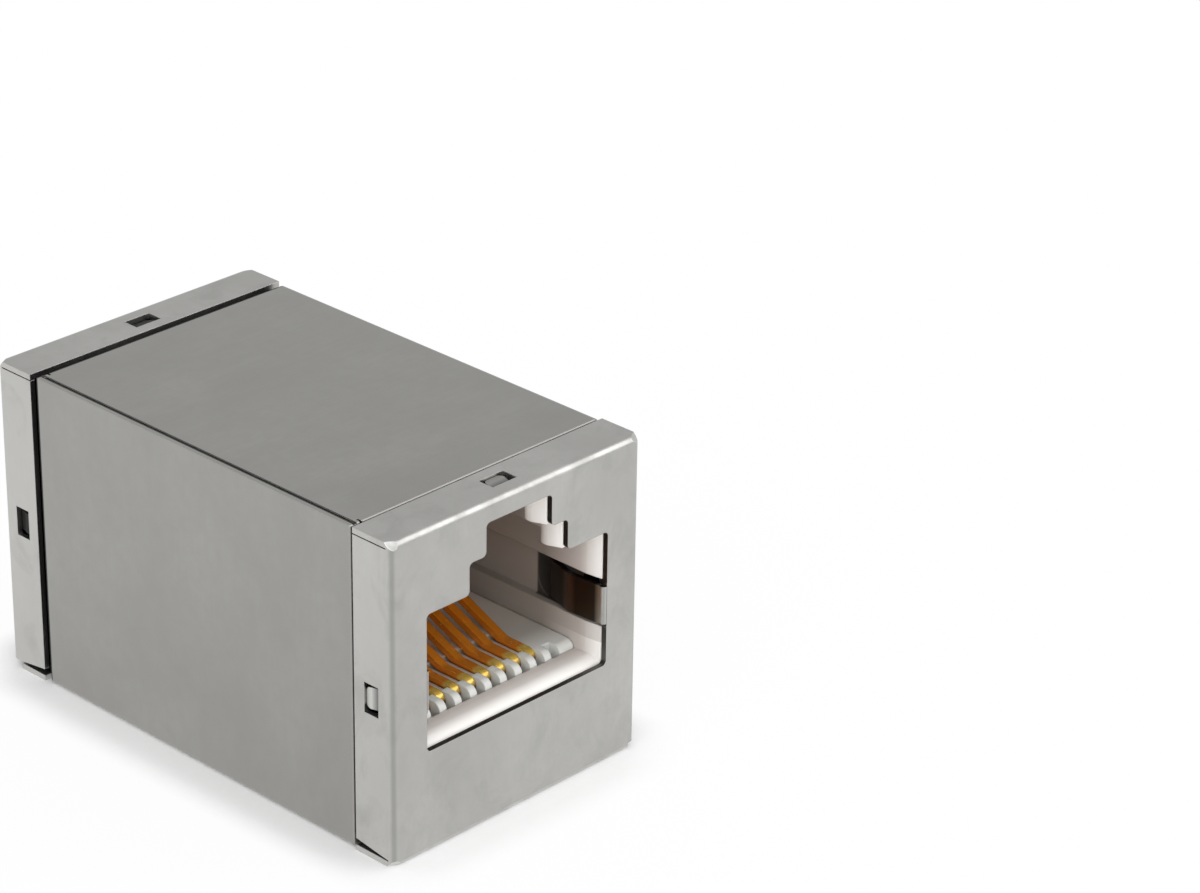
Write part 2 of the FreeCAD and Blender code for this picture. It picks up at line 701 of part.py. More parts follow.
def slot_corners(place, start, end):
    return rectangle(f"({place} - {SLOT_SIDE})", f"({place} + {SLOT_SIDE})", start, end)


def carrier_row_step(body):
    """The comb drops a step behind its noses, so that the level parts of the contacts stand clear."""
    start = f"({CARRIER_FRONT} + size.comb_nose_length)"
    floor = f"({COMB_TOP} - size.comb_step)"
    above = f"({COMB_TOP} + size.cut_runout)"
    side_view = [(start, above), (start, COMB_TOP), (f"({start} + size.comb_step)", floor),
                 (SLOT_END, floor), (SLOT_END, above)]
    step = outline(body, "row_step", "YZ_Plane", side_view)
    pocket(body, step, f"{CONTACT_COUNT - 1} * size.contact_pitch + 2 * {SLOT_SIDE}", symmetric=True)


def carrier_slots(body):
    """Slots at the nose, with a blank one at each end, grooves for the runs, and slots for the tips."""
    before_nose = f"({CARRIER_FRONT} - size.cut_runout)"
    nose = outline(body, "nose_slot", "XY_Plane", slot_corners(row_place(1), before_nose, SLOT_END))
    nose_cut = pocket(body, nose, symmetric=True)
    repeat_along_x(body, nose_cut, "size.contact_pitch", CONTACT_COUNT)
    blanks = new_sketch(body, "blank_slots", "XY_Plane", "0")
    blank_end = f"({CARRIER_FRONT} + size.blank_slot_length)"
    for index in (0, CONTACT_COUNT + 1):
        add_outline(blanks, slot_corners(row_place(index), before_nose, blank_end))
    pocket(body, blanks, symmetric=True)
    for index, row in ((1, "upper"), (2, "lower")):
        run_top = f"({PIN_ROWS[row]} + size.contact_thickness + size.contact_side_gap)"
        corners = slot_corners(row_place(index), f"({SLOT_END} - size.cut_runout)",
                               f"({CARRIER_REAR} + size.cut_runout)")
        run = outline(body, f"{row}_run", "XY_Plane", corners, at=CARRIER_BOTTOM)
        run_cut = pocket(body, run, f"{run_top} - {CARRIER_BOTTOM}", backwards=True)
        repeat_along_x(body, run_cut, "2 * size.contact_pitch", CONTACT_COUNT // 2)
    tip_corners = slot_corners(row_place(1), f"({UPRIGHT_TOP} - size.upright_slot_height)",
                               f"({UPRIGHT_TOP} + size.cut_runout)")
    tip = outline(body, "tip_slot", "XZ_Plane", tip_corners, at=CAVITY_END)
    tip_cut = pocket(body, tip, "size.upright_slot_depth")
    repeat_along_x(body, tip_cut, "size.contact_pitch", CONTACT_COUNT)


def make_carrier(label, turned=False):
    body = new_body(label, turned)
    profile = [
        (CARRIER_FRONT, CARRIER_BOTTOM),
        (CARRIER_REAR, CARRIER_BOTTOM),
        (CARRIER_REAR, UPRIGHT_TOP),
        (CAVITY_END, UPRIGHT_TOP),
        (CAVITY_END, COMB_TOP),
        (CARRIER_FRONT, COMB_TOP),
    ]
    side_view = outline(body, "carrier_profile", "YZ_Plane", profile)
    pad(body, side_view, f"2 * {CARRIER_SIDE}", symmetric=True)
    comb_top = opening_bottom() + size("lip_rise") + size("comb_rise")
    nose = body.Tip.Shape.BoundBox.YMin
    fillet(body, "comb_nose", "size.comb_nose_radius",
           lambda box: runs_along(box, "X") and near(box.YMin, nose) and near(box.ZMin, comb_top))
    carrier_row_step(body)
    carrier_slots(body)


# Contacts
def contact_outline(row):
    """Side view: pin, run forwards under the carrier, round the nose, level over the comb, then up."""
    thickness = "size.contact_thickness"
    angle = "size.contact_rise_angle"
    run = PIN_ROWS[row]
    tip_top = f"({CONTACT_TOP} + ({CONTACT_TIP} - {CONTACT_KINK}) * tan({angle}))"
    outer = [
        (PIN_END, run),
        (CONTACT_NOSE, run),
        (CONTACT_NOSE, CONTACT_TOP),
        (CONTACT_KINK, CONTACT_TOP),
        (CONTACT_TIP, tip_top),
    ]
    inner = [
        (f"({CONTACT_TIP} + {thickness} * sin({angle}))", f"({tip_top} - {thickness} * cos({angle}))"),
        (f"({CONTACT_KINK} + {thickness} * tan({angle} / 2))", f"({CONTACT_TOP} - {thickness})"),
        (f"({CONTACT_NOSE} + {thickness})", f"({CONTACT_TOP} - {thickness})"),
        (f"({CONTACT_NOSE} + {thickness})", f"({run} + {thickness})"),
        (PIN_END, f"({run} + {thickness})"),
    ]
    return outer + inner


def contact_bends(body):
    box = body.Tip.Shape.BoundBox
    nose = box.YMin
    thickness = size("contact_thickness")
    top = opening_bottom() + size("lip_rise") + size("comb_rise") + size("contact_side_gap")
    kink = nose + size("contact_level_length")
    fillet(body, "outer_bends", "size.contact_bend_radius + size.contact_thickness",
           lambda edge: runs_along(edge, "X") and near(edge.YMin, nose))
    chamfer(body, "inner_bends", "size.contact_bend_radius",
            lambda edge: runs_along(edge, "X") and near(edge.YMin, nose + thickness))
    fillet(body, "kink", "size.contact_kink_radius",
           lambda edge: runs_along(edge, "X") and near(edge.YMin, kink) and near(edge.ZMin, top))


def make_contact(label, index, turned=False):
    body = new_body(label, turned)
    row = "upper" if index % 2 else "lower"
    side_view = outline(body, "side_view", "YZ_Plane", contact_outline(row), at=row_place(index))
    pad(body, side_view, "size.contact_width", symmetric=True)
    contact_bends(body)


# Circuit board
def make_board(label):
    body = new_body(label)
    corners = centred_rectangle(f"({SIDE} - {HOUSING_INSET})", HOUSING_INSET, f"({TOP} - {HOUSING_INSET})")
    face = outline(body, "board_face", "XZ_Plane", corners)
    pad(body, face, "size.board_thickness", symmetric=True)
    half_width = "(size.contact_width / 2 + size.pin_hole_gap)"
    for row, level in PIN_ROWS.items():
        corners = rectangle(f"({row_place(1)} - {half_width})", f"({row_place(1)} + {half_width})",
                            f"({level} - size.pin_hole_gap)",
                            f"({level} + size.contact_thickness + size.pin_hole_gap)")
        hole = pocket(body, outline(body, f"{row}_hole", "XZ_Plane", corners), symmetric=True)
        repeat_along_x(body, hole, "size.contact_pitch", CONTACT_COUNT)


def build():
    fill_sheet()
    make_shell("shell_lower")
    make_shell("shell_upper", upper=True)
    make_board("circuit_board")
    for end, turned in (("front", False), ("rear", True)):
        make_cap(f"{end}_cap", turned)
        make_housing(f"{end}_housing", turned)
        make_carrier(f"{end}_contact_carrier", turned)
        for index in range(1, CONTACT_COUNT + 1):
            make_contact(f"{end}_contact_{index}", index, turned)
    doc.recompute()


def check():
    for item in doc.Objects:
        if "Invalid" in item.State or "Error" in item.State:
            raise RuntimeError(f"{item.Label} is {item.State}")
    for body in nodes:
        shape = body.Shape
        if shape.isNull() or not shape.isValid() or len(shape.Solids) != 1:
            raise RuntimeError(f"{body.Label} is not one valid solid")


def write():
    os.makedirs("parts", exist_ok=True)
    for body in nodes:
        body.Shape.exportStep(f"parts/{body.Label}.step")


build()
check()
write()
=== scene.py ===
import json
import math

import bpy
from mathutils import Matrix, Vector


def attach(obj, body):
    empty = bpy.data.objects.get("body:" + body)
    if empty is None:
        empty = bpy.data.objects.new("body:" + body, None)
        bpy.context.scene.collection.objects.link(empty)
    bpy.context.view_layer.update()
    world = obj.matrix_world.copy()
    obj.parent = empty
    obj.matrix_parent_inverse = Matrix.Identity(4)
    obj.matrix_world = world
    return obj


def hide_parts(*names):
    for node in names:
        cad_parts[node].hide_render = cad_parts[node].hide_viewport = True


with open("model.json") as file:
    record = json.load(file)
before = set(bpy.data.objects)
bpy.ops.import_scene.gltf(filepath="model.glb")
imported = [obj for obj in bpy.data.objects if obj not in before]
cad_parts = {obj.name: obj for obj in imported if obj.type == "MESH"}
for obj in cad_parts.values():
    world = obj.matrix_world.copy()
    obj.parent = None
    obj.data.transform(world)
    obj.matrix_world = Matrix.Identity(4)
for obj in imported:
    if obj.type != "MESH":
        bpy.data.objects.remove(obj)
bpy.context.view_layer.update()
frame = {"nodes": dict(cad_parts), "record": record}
nodes = frame["nodes"]

# The photograph's frame and the camera fitted to the coupler in it
FOCAL_PX = 4033.2
FRAME_WIDTH_PX = 1200
SENSOR_MM = 36.0
NEAREST_SEEN = 0.01
FARTHEST_SEEN = 20.0
EYE = Vector((-0.119710, -0.132476, 0.100821))
RIGHT = Vector((0.69198, -0.72177, 0.01441))
DOWN = Vector((-0.30536, -0.31072, -0.90012))
FORWARD = Vector((0.65416, 0.61846, -0.43541))

# Lamps: where each one stands, its strength and how wide its disc is in degrees
KEY_LAMP = ((0.55, -0.50, 0.67), 0.72, 55.0)
FILL_LAMP = ((-0.75, -0.60, 0.32), 1.85, 80.0)
FLOOR_SIZE = 6.0

# Places on the coupler in metres: distances from its middle planes, and heights
HALF_WIDTH = 0.00825
HEIGHT = 0.0172
PLATE_BACK = 0.01388
WALL_END = 0.0110
BARB_START = 0.0118
FINGER_RIDGE = 0.0119
FINGER_LOW = 0.00774
FINGER_HIGH = 0.00981
GROOVE_WALL = 0.0063
WINDOW_END = 0.0092
NOSE_BEND = 0.0111
COMB_TOP = 0.00615
OPENING_HALF_WIDTH = 0.0066
OPENING_SIDE = 0.00605
OPENING_BOTTOM = 0.0053
OPENING_TOP = 0.0162
KEYWAY_LOW = 0.0135
KEYWAY_HIGH = 0.0150
LOW_WALL_BOTTOM = 0.0066
LOW_WALL_TOP = 0.0098
SEAM_OUTER = 0.00803
SEAM_INNER = 0.00777

# The ground fingers' fold: how far it moves out, the fillet at its roots, its depth and the edges' slack
FINGER_SHIFT = 0.00042
ROOT_FILLET = 0.00026
FOLD_DEPTH = 0.0003
EDGE_SLACK = 0.00003

# Depths and borders over which one shade passes into another
SKIN_DEPTH = 0.00013
NECK_DEPTH = 0.00030
SOFT_BORDER = 0.0001
RIDGE_FADE = 0.0005
SPRING_START = COMB_TOP + 0.0003
SPRING_FULL = COMB_TOP + 0.0015
UNDER_COMB_START = COMB_TOP - 0.0001
UNDER_COMB_FULL = COMB_TOP - 0.0004
KNUCKLE_START = NOSE_BEND - 0.0004
KNUCKLE_FULL = NOSE_BEND - 0.0002

# How far a surface has to face one way, from 0 to 1, to count as flat, bent, upright or cut
FLAT_FACING = 0.99
BENT_FACING = 0.80
UPRIGHT_FACING = 0.05
CUT_FACING = 0.3

# How well the rounded normal agrees with the flat one where an edge starts and where it is full
EDGE_START = 0.92
EDGE_FULL = 0.75

# The border between the two halves of a mask or of a facing
HALF = 0.5

# Radii to which the shading rounds sharp edges
SHEET_ROUNDING = 0.00006
SPRING_ROUNDING = 0.00007
BOARD_ROUNDING = 0.00005
HOUSING_ROUNDING = 0.00012
CARRIER_ROUNDING = 0.00010

# Rays that the rounding and the floor's contact shadow use
ROUNDING_SAMPLES = 4
SHADOW_SAMPLES = 8

# The contact shadow: its reach, the openness at its darkest and at its end, and the white shares
SHADOW_REACH = 0.003
SHADOW_DARKEST = 0.74
SHADOW_END = 0.995
SEEN_WHITE = 0.93
MIRRORED_WHITE = 0.5

# Noise scales, in waves per metre
SCUFF_SCALE = 420.0
HIGHLIGHT_BREAK_SCALE = 1100.0
SMUDGE_SCALE = 170.0
ROLLING_SCALE = 9000.0
GRAIN_SCALE = 30000.0
MOTTLE_SCALE = 1300.0
WAVE_SCALE = 260.0
FLOW_SCALE = 320.0
SKIN_SCALE = 16000.0
WIRE_SCALE = 14000.0
TARNISH_SCALE = 900.0
WEAVE_SCALE = 5000.0
TOOTH_SCALE = 2500.0

# How the noises stretch along each axis
CAP_STREAKS = (1.0, 1.0, 0.04)
CAP_SMUDGES = (1.0, 1.0, 0.45)
SHELL_STREAKS = (0.03, 1.0, 0.03)
SHELL_SMUDGES = (0.7, 1.0, 0.7)
SCUFF_STRETCH = (1.0, 1.0, 0.7)
FLOW_STRETCH = (1.0, 0.35, 1.0)
WIRE_STRETCH = (1.0, 0.12, 0.12)
TARNISH_STRETCH = (1.0, 0.5, 0.5)

# Relief of the finishes in metres
GRAIN_RELIEF = 0.000004
WAVE_RELIEF = 0.00003
SKIN_RELIEF = 0.000003
WIRE_RELIEF = 0.000002
WEAVE_RELIEF = 0.000004

# Roughness and how it varies
METAL_ROUGHNESS = (0.30, 0.40)
STREAK_ROUGHNESS = (-0.03, 0.03)
HOUSING_ROUGHNESS = (0.37, 0.47)
CARRIER_ROUGHNESS = (0.33, 0.43)
WIRE_ROUGHNESS = (0.16, 0.28)
LACQUER_ROUGHNESS = (0.25, 0.4)
FLOOR_ROUGHNESS = (0.85, 0.95)
FLOOR_SHEEN = 0.1
PLASTIC_IOR = 1.5
SPRING_METALLIC = 0.6

# How much of each extra tone shows where it is strongest
CAP_SIDE_LIGHT_SHARE = 0.35
SCUFF_SHARE = 0.35
BEND_HIGHLIGHT_SHARES = (0.08, 0.5)
UPRIGHT_BEND_SHADE_SHARE = 0.6
REAR_NECK_SHADE_SHARE = 0.97
BARB_HIGHLIGHT_SHARE = 0.8
STREAK_SHARE = 0.22
MOTTLE_SHARE = 0.35
EDGE_HIGHLIGHT_SHARE = 0.22
HOUSING_LOW_WALL_SHADE_SHARE = 0.38
CARRIER_LOW_WALL_SHADE_SHARE = 0.0
FLOW_SHARE = 0.05
TARNISH_SHARE = 0.3


def tint(red, green, blue):
    """A colour in linear light, as the sockets take it."""
    return (red, green, blue, 1.0)


# Nickel plating, as plain, dark and bright tones
CAP_TONES = (tint(0.48, 0.475, 0.455), tint(0.435, 0.43, 0.41), tint(0.52, 0.515, 0.495))
SHELL_TONES = (tint(0.36, 0.356, 0.338), tint(0.335, 0.330, 0.312), tint(0.385, 0.380, 0.360))
# Painted light and shade on the nickel: highlights on the edges, the cap's sides, the bends and the barbs,
# and shade on the upright bends, cut edges, fingers, necks and seam; the scuffed tone is wear.
EDGE_HIGHLIGHT = tint(0.66, 0.66, 0.64)
CAP_SIDE_LIGHT = tint(0.66, 0.655, 0.635)
SCUFFED = tint(0.33, 0.328, 0.315)
BEND_HIGHLIGHT = tint(0.88, 0.88, 0.86)
UPRIGHT_BEND_SHADE = tint(0.24, 0.24, 0.23)
CUT_EDGE_SHADE = tint(0.10, 0.097, 0.09)
FINGER_SHADE = tint(0.055, 0.045, 0.038)
FINGER_RIDGE_HIGHLIGHT = tint(0.15, 0.135, 0.125)
REAR_NECK_SHADE = tint(0.02, 0.02, 0.02)
BARB_HIGHLIGHT = tint(0.68, 0.68, 0.66)
SEAM_SHADOW = tint(0.035, 0.034, 0.032)
UNDER_CAP_SHADE = tint(0.015, 0.015, 0.015)

# Plastic, from the mouth inwards, as the distance along from the middle and the colour there: painted shade
# that darkens it deeper inside
HOUSING_DEPTH_SHADES = [
    (0.0136, tint(0.97, 0.95, 0.915)),
    (0.0125, tint(0.61, 0.56, 0.525)),
    (0.0100, tint(0.28, 0.25, 0.22)),
]
CARRIER_DEPTH_SHADES = [
    (0.0115, tint(0.72, 0.73, 0.70)),
    (0.0100, tint(0.44, 0.42, 0.38)),
    (0.0060, tint(0.56, 0.515, 0.465)),
]
# Painted light at the keyway, painted shade on the low walls and on the outer walls behind the windows; the
# flow marks are the plastic's own.
HOUSING_KEYWAY_LIGHT = tint(0.95, 0.92, 0.885)
CARRIER_KEYWAY_LIGHT = tint(0.72, 0.73, 0.70)
LOW_WALL_SHADE = tint(0.30, 0.26, 0.23)
WINDOW_SHADE = tint(0.04, 0.032, 0.027)
FLOW_MARK = tint(0.25, 0.20, 0.15)

# Gold plating, lacquer, floor and studio
# Gold darkened to orange as painted shade on the springs, yellow gold as a painted highlight at the bent
# front, painted shade under the comb; the tarnish is the wire's own.
SPRING_FOOT_SHADED = tint(0.95, 0.31, 0.02)
SPRING_GOLD_SHADED = tint(1.0, 0.28, 0.005)
KNUCKLE_GOLD_HIGHLIGHT = tint(1.0, 0.70, 0.15)
UNDER_COMB_SHADE = tint(0.16, 0.08, 0.015)
TARNISH = tint(0.45, 0.17, 0.02)
LACQUER_TONES = (tint(0.02, 0.13, 0.05), tint(0.03, 0.17, 0.07))
FLOOR_TONES = (tint(0.925, 0.925, 0.925), tint(0.94, 0.94, 0.94))
STUDIO_GREY = tint(0.72, 0.72, 0.725)


class Tree:
    """Short ways to add and join the shader nodes of one material."""

    def __init__(self, name):
        self.material = bpy.data.materials.new(name)
        self.material.use_nodes = True
        self.nodes = self.material.node_tree.nodes
        self.links = self.material.node_tree.links
        self.shader = self.nodes["Principled BSDF"]

    def add(self, kind, **settings):
        node = self.nodes.new(kind)
        for key, value in settings.items():
            setattr(node, key, value)
        return node

    def feed(self, socket, value):
        """Puts a number, a colour or another node's output into a socket."""
        if isinstance(value, bpy.types.NodeSocket):
            self.links.new(value, socket)
        else:
            socket.default_value = value

    def place(self, scale=(1.0, 1.0, 1.0)):
        """Object coordinates in metres, stretched along each axis."""
        coordinate = self.add("ShaderNodeTexCoord")
        mapping = self.add("ShaderNodeMapping")
        self.feed(mapping.inputs["Vector"], coordinate.outputs["Object"])
        self.feed(mapping.inputs["Scale"], scale)
        return mapping.outputs["Vector"]

    def noise(self, per_metre, stretch=(1.0, 1.0, 1.0), detail=4.0, roughness=0.5, distortion=0.0):
        node = self.add("ShaderNodeTexNoise")
        self.feed(node.inputs["Vector"], self.place(stretch))
        self.feed(node.inputs["Scale"], per_metre)
        self.feed(node.inputs["Detail"], detail)
        self.feed(node.inputs["Roughness"], roughness)
        self.feed(node.inputs["Distortion"], distortion)
        return node.outputs["Fac"]

    def rescale(self, value, low, high, new_low, new_high):
        node = self.add("ShaderNodeMapRange")
        self.feed(node.inputs["Value"], value)
        self.feed(node.inputs["From Min"], low)
        self.feed(node.inputs["From Max"], high)
        self.feed(node.inputs["To Min"], new_low)
        self.feed(node.inputs["To Max"], new_high)
        return node.outputs["Result"]

    def vary(self, noise, least, most, low=0.3, high=0.7):
        """A value between least and most that follows a noise, of which low to high is used."""
        return self.rescale(noise, low, high, least, most)

    def math(self, operation, first, second=0.0):
        node = self.add("ShaderNodeMath", operation=operation)
        self.feed(node.inputs[0], first)
        self.feed(node.inputs[1], second)
        return node.outputs["Value"]

    def mix(self, factor, first, second):
        """A colour between the first, where factor is 0, and the second, where it is 1."""
        node = self.add("ShaderNodeMix", data_type="RGBA")
        self.feed(node.inputs["Factor"], factor)
        self.feed(node.inputs[6], first)
        self.feed(node.inputs[7], second)
        return node.outputs[2]

    def mix_part(self, mask, share, first, second):
        """As mix, with the second colour at no more than its share where the mask is 1."""
        return self.mix(self.math("MULTIPLY", mask, share), first, second)

    def rounded(self, radius):
        """The surface's normal with every sharp edge rounded to this radius."""
        node = self.add("ShaderNodeBevel", samples=ROUNDING_SAMPLES)
        self.feed(node.inputs["Radius"], radius)
        return node.outputs["Normal"]

    def edge_mask(self, rounded):
        """0 on the flats, rising towards 1 on the sharp edges."""
        geometry = self.add("ShaderNodeNewGeometry")
        dot = self.add("ShaderNodeVectorMath", operation="DOT_PRODUCT")
        self.feed(dot.inputs[0], rounded)
        self.feed(dot.inputs[1], geometry.outputs["Normal"])
        return self.rescale(dot.outputs["Value"], EDGE_START, EDGE_FULL, 0.0, 1.0)

    def bump(self, height, distance, normal):
        node = self.add("ShaderNodeBump")
        self.feed(node.inputs["Height"], height)
        self.feed(node.inputs["Distance"], distance)
        self.feed(node.inputs["Strength"], 1.0)
        self.feed(node.inputs["Normal"], normal)
        return node.outputs["Normal"]

    def position(self):
        coordinate = self.add("ShaderNodeTexCoord")
        place = self.add("ShaderNodeSeparateXYZ")
        self.feed(place.inputs[0], coordinate.outputs["Object"])
        return place.outputs["X"], place.outputs["Y"], place.outputs["Z"]

    def from_middle(self):
        """Distance from the coupler's middle planes along X and Y, and the height."""
        across, along, height = self.position()
        return self.math("ABSOLUTE", across), self.math("ABSOLUTE", along), height

    def facing(self):
        """How far the surface faces along X, Y and Z, each 0 to 1."""
        normal = self.add("ShaderNodeSeparateXYZ")
        self.feed(normal.inputs[0], self.add("ShaderNodeNewGeometry").outputs["True Normal"])
        return [self.math("ABSOLUTE", normal.outputs[axis]) for axis in "XYZ"]

    def depth_under_skin(self):
        """How deep a point lies under the coupler's long outer faces."""
        across, _, height = self.from_middle()
        side_depth = self.math("SUBTRACT", HALF_WIDTH, across)
        top_depth = self.math("SUBTRACT", HEIGHT, height)
        return self.math("MINIMUM", side_depth, self.math("MINIMUM", height, top_depth))

    def all_of(self, tests):
        """1 where every (operation, value, limit) holds, else 0."""
        mask = None
        for operation, value, limit in tests:
            held = self.math(operation, value, limit)
            mask = held if mask is None else self.math("MULTIPLY", mask, held)
        return mask

    def finger_band(self, height):
        return self.all_of([
            ("GREATER_THAN", height, FINGER_LOW + EDGE_SLACK),
            ("LESS_THAN", height, FINGER_HIGH - EDGE_SLACK),
        ])

    def cut_edge_shade_mask(self):
        """1 on the cut edge of the sheet round the opening of either cap, where painted shade goes."""
        across, along, height = self.from_middle()
        return self.all_of([
            ("LESS_THAN", across, OPENING_HALF_WIDTH),
            ("GREATER_THAN", along, PLATE_BACK),
            ("LESS_THAN", self.facing()[1], CUT_FACING),
            ("GREATER_THAN", height, OPENING_BOTTOM),
            ("LESS_THAN", height, OPENING_TOP),
            ("LESS_THAN", self.finger_band(height), HALF),
        ])

    def finger_shade_mask(self):
        """0 at the fold of the ground fingers, rising to 1 behind the cap's face plate, where painted shade
        goes.
        """
        across, along, height = self.from_middle()
        band = self.all_of([
            ("LESS_THAN", across, OPENING_HALF_WIDTH),
            ("GREATER_THAN", height, OPENING_BOTTOM),
            ("LESS_THAN", height, OPENING_TOP),
            ("LESS_THAN", along, PLATE_BACK + 2 * SOFT_BORDER),
        ])
        behind = self.rescale(along, PLATE_BACK + SOFT_BORDER, PLATE_BACK - FOLD_DEPTH, 0.0, 1.0)
        return self.math("MULTIPLY", band, behind)

    def under_cap_shade(self):
        """0 on the shell's outer walls, rising to 1 on the necks and slots that lie under the caps, where
        painted shade goes.
        """
        along = self.from_middle()[1]
        depth = self.rescale(self.depth_under_skin(), SKIN_DEPTH, NECK_DEPTH, 0.0, 1.0)
        return self.math("MULTIPLY", depth, self.math("GREATER_THAN", along, WALL_END))

    def barb_highlight_mask(self):
        """1 on the barbs that rise into the snap holes in the front cap's sides, where a painted highlight
        goes.
        """
        shallow = self.rescale(self.depth_under_skin(), SKIN_DEPTH, NECK_DEPTH, 1.0, 0.0)
        beside = self.all_of([
            ("LESS_THAN", self.position()[1], -BARB_START),
            ("GREATER_THAN", self.from_middle()[0], SEAM_INNER),
        ])
        return self.math("MULTIPLY", shallow, beside)

    def seam_shadow_mask(self):
        """1 beside the long seam on the top's left edge and the foot's right edge, where a painted shadow
        goes.
        """
        across, _, height = self.position()
        seam_side = self.math("MULTIPLY", across, self.math("SUBTRACT", height, HEIGHT / 2))
        return self.all_of([
            ("GREATER_THAN", self.from_middle()[0], SEAM_INNER),
            ("LESS_THAN", self.from_middle()[0], SEAM_OUTER),
            ("GREATER_THAN", self.facing()[2], HALF),
            ("LESS_THAN", seam_side, 0.0),
        ])

    def bend_masks(self):
        """1 in the middle of a bend between the face and the top or bottom, where a painted highlight goes,
        and on an upright bend, where painted shade goes.
        """
        across, along, up = self.facing()
        flattest = self.math("MAXIMUM", across, self.math("MAXIMUM", along, up))
        bent = self.rescale(flattest, FLAT_FACING, BENT_FACING, 0.0, 1.0)
        upright = self.math("LESS_THAN", up, UPRIGHT_FACING)
        level = self.math("SUBTRACT", 1.0, upright)
        return self.math("MULTIPLY", bent, level), self.math("MULTIPLY", bent, upright)


def shade_cap(tree, tone):
    """The cap's painted light on its sides, its scuffs, a painted highlight on the face's top and bottom
    bends, painted shade on its upright bends and cut edges, and painted shade inside its fingers with a
    painted highlight along their ridge.
    """
    lit_bend, shaded_upright_bend = tree.bend_masks()
    # Painted light: the cap's sides, facing across, are painted lighter than its face and top.
    tone = tree.mix_part(tree.facing()[0], CAP_SIDE_LIGHT_SHARE, tone, CAP_SIDE_LIGHT)
    scuffs = tree.noise(SCUFF_SCALE, SCUFF_STRETCH, detail=5.0, roughness=0.65, distortion=0.6)
    tone = tree.mix(tree.vary(scuffs, 0.0, SCUFF_SHARE, low=0.50, high=0.68), tone, SCUFFED)
    # Painted highlight along the bends between the face and the top or bottom, broken up by a noise.
    highlight_breaks = tree.noise(HIGHLIGHT_BREAK_SCALE, detail=2.0)
    highlight_share = tree.vary(highlight_breaks, *BEND_HIGHLIGHT_SHARES, low=0.35, high=0.65)
    tone = tree.mix_part(lit_bend, highlight_share, tone, BEND_HIGHLIGHT)
    # Painted shade on the upright bends beside the face.
    tone = tree.mix_part(shaded_upright_bend, UPRIGHT_BEND_SHADE_SHARE, tone, UPRIGHT_BEND_SHADE)
    # Painted shade on the sheet's cut edge round the opening.
    tone = tree.mix(tree.cut_edge_shade_mask(), tone, CUT_EDGE_SHADE)
    # Painted shade on the ground fingers behind the face plate, with a painted highlight along their ridge.
    from_ridge = tree.math("ABSOLUTE", tree.math("SUBTRACT", tree.from_middle()[1], FINGER_RIDGE))
    ridge_highlight = tree.rescale(from_ridge, SOFT_BORDER, RIDGE_FADE, 1.0, 0.0)
    return tree.mix(tree.finger_shade_mask(), tone, tree.mix(ridge_highlight, FINGER_SHADE, FINGER_RIDGE_HIGHLIGHT))


def shade_shell(tree, tone):
    """The shell's painted shade on its rear necks, painted highlight on its front barbs, painted shadow
    beside its seam, and painted shade that deepens under the caps.
    """
    # Painted shade on the shell behind the rear wall's end, under the rear cap.
    rear = tree.math("GREATER_THAN", tree.position()[1], WALL_END)
    tone = tree.mix_part(rear, REAR_NECK_SHADE_SHARE, tone, REAR_NECK_SHADE)
    # Painted highlight on the front barbs.
    tone = tree.mix_part(tree.barb_highlight_mask(), BARB_HIGHLIGHT_SHARE, tone, BARB_HIGHLIGHT)
    # Painted shadow in a thin band beside the seam.
    tone = tree.mix(tree.seam_shadow_mask(), tone, SEAM_SHADOW)
    # Painted shade on the necks and slots under the caps, darker the deeper they lie.
    return tree.mix(tree.under_cap_shade(), tone, UNDER_CAP_SHADE)


def sheet_metal(name, tones, streaks, smudge_stretch, shade):
    """Satin nickel plating: rolling streaks, smudges, fine mottle, and a painted highlight along the sharp
    edges.
    """
    plain, dark, bright = tones
    tree = Tree(name)
    smudges = tree.noise(SMUDGE_SCALE, smudge_stretch, detail=5.0, roughness=0.6, distortion=0.4)
    lines = tree.noise(ROLLING_SCALE, streaks, detail=3.0, roughness=0.6)
    grain = tree.noise(GRAIN_SCALE, detail=2.0, roughness=0.7)
    mottle = tree.noise(MOTTLE_SCALE, detail=3.0, roughness=0.6)
    waves = tree.noise(WAVE_SCALE, detail=1.0, roughness=0.3)
    rounded = tree.rounded(SHEET_ROUNDING)
    tone = tree.mix(tree.vary(smudges, 0.0, 1.0, low=0.34, high=0.66), dark, bright)
    tone = tree.mix(tree.vary(lines, 0.0, STREAK_SHARE), tone, plain)
    tone = tree.mix(tree.vary(mottle, 0.0, MOTTLE_SHARE, low=0.35, high=0.65), tone, dark)
    # Painted highlight: the sharp edges are painted a little brighter.
    tone = tree.mix_part(tree.edge_mask(rounded), EDGE_HIGHLIGHT_SHARE, tone, EDGE_HIGHLIGHT)
    tree.feed(tree.shader.inputs["Base Color"], shade(tree, tone))
    tree.feed(tree.shader.inputs["Metallic"], 1.0)
    smudged = tree.vary(smudges, *METAL_ROUGHNESS)
    streaked = tree.vary(lines, *STREAK_ROUGHNESS)
    tree.feed(tree.shader.inputs["Roughness"], tree.math("ADD", smudged, streaked))
    height = tree.math("ADD", tree.math("MULTIPLY", lines, 0.6), tree.math("MULTIPLY", grain, 0.4))
    relief = tree.bump(waves, WAVE_RELIEF, tree.bump(height, GRAIN_RELIEF, rounded))
    tree.feed(tree.shader.inputs["Normal"], relief)
    return tree.material


